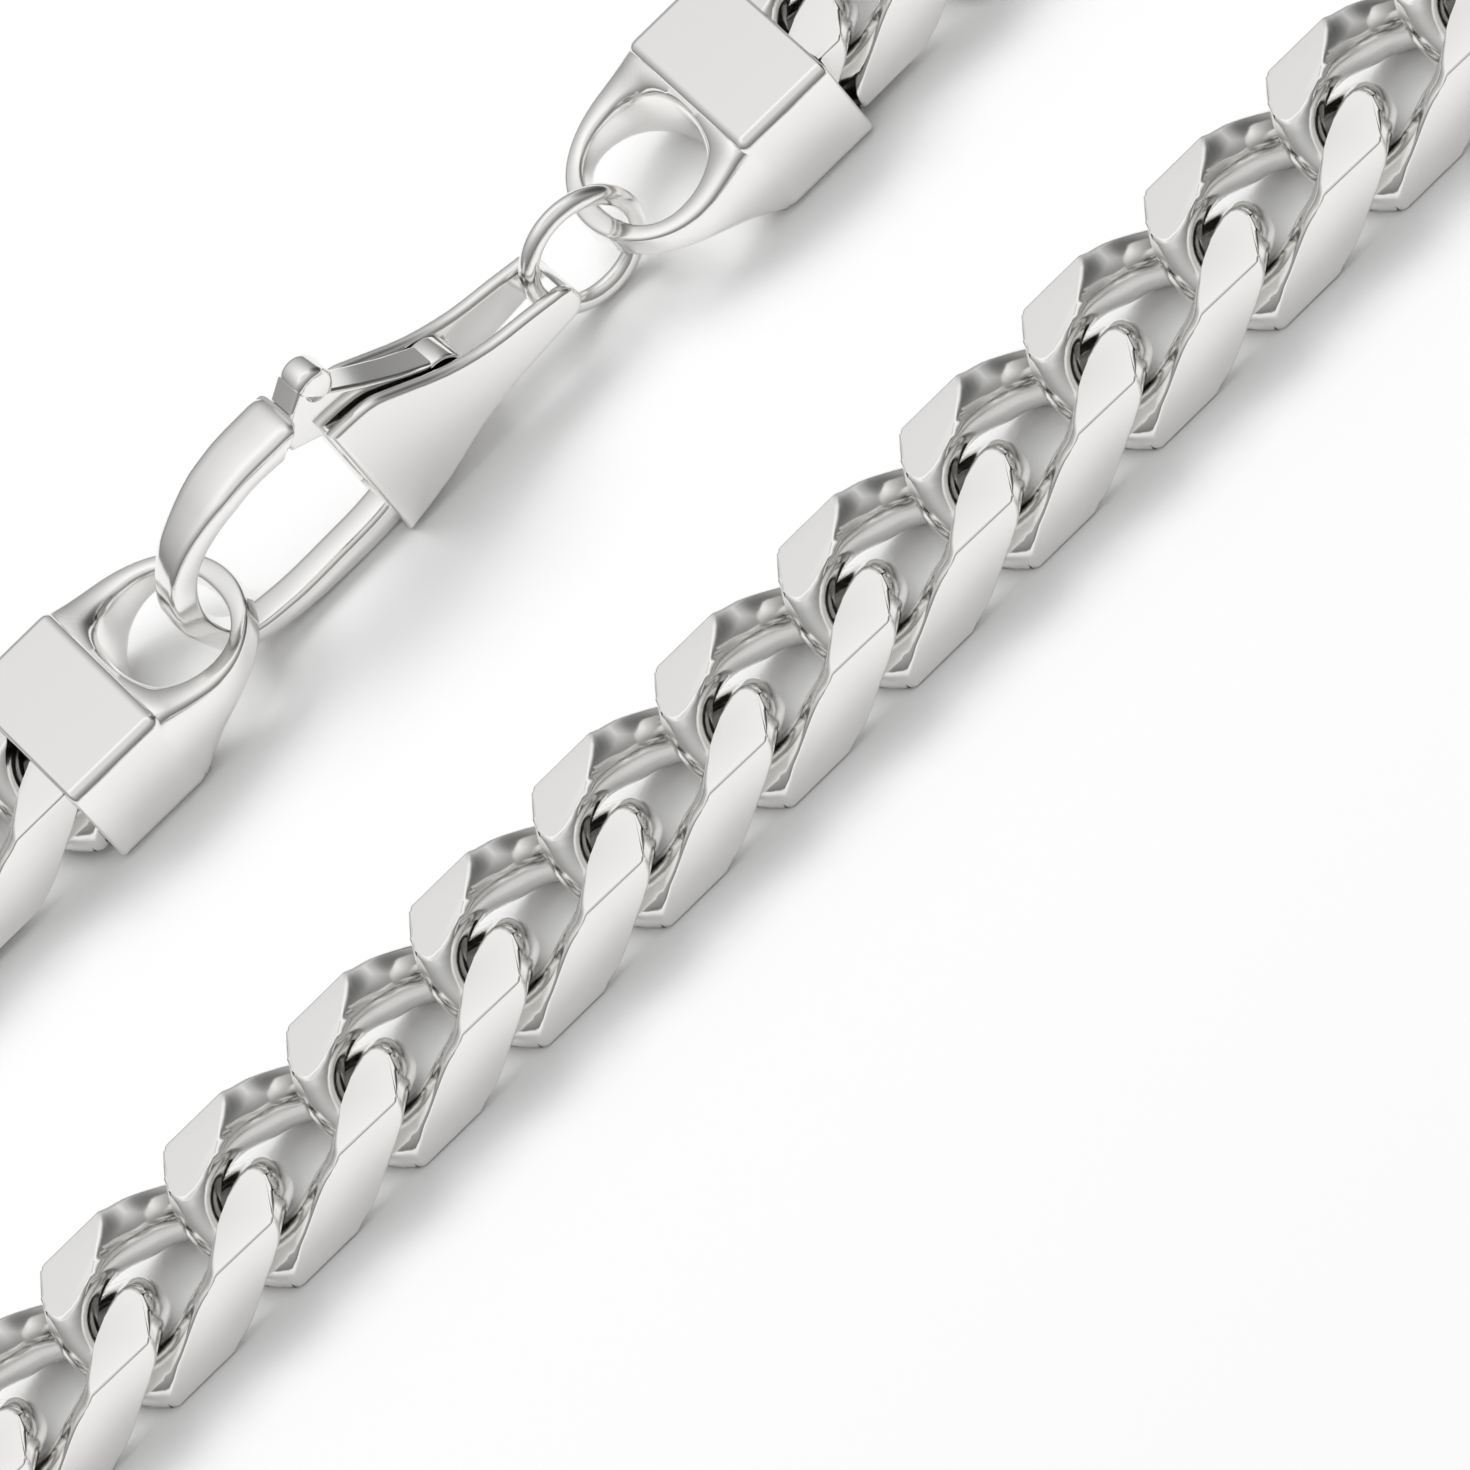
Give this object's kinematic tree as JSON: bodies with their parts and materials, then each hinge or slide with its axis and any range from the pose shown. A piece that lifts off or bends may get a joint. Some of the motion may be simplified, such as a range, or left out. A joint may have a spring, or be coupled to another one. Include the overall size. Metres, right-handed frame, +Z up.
{
  "type": "curb chain necklace",
  "caption": "Closed necklace of deep, close curb links with bright cut faces, square end caps with round eyes, a jump ring and a lobster claw clasp",
  "frame": {"origin": "on the surface the necklace lies on, under the middle of its closed loop", "axes": "X runs along the two straight runs, Y across them towards the run with the clasp, Z up from the surface"},
  "size_m": [0.2366, 0.0654, 0.0076],
  "materials": {
    "silver": "high polish sterling silver with mirror-bright cut faces"
  },
  "bodies": {
    "necklace": {"chain_right": "silver", "chain_left": "silver", "end_cap_right": "silver", "end_cap_left": "silver", "jump_ring": "silver", "clasp_body": "silver"},
    "lever": {"clasp_lever": "silver"}
  },
  "joints": [
    {"name": "lever_hinge", "type": "hinge", "parent": "necklace", "child": "lever", "pos_m": [0.00123, 0.00849, 0.00315], "axis": [0.0262, -0.9997, 0], "range_deg": [0, 20], "stiffness_Nm_per_rad": 0.003}
  ]
}
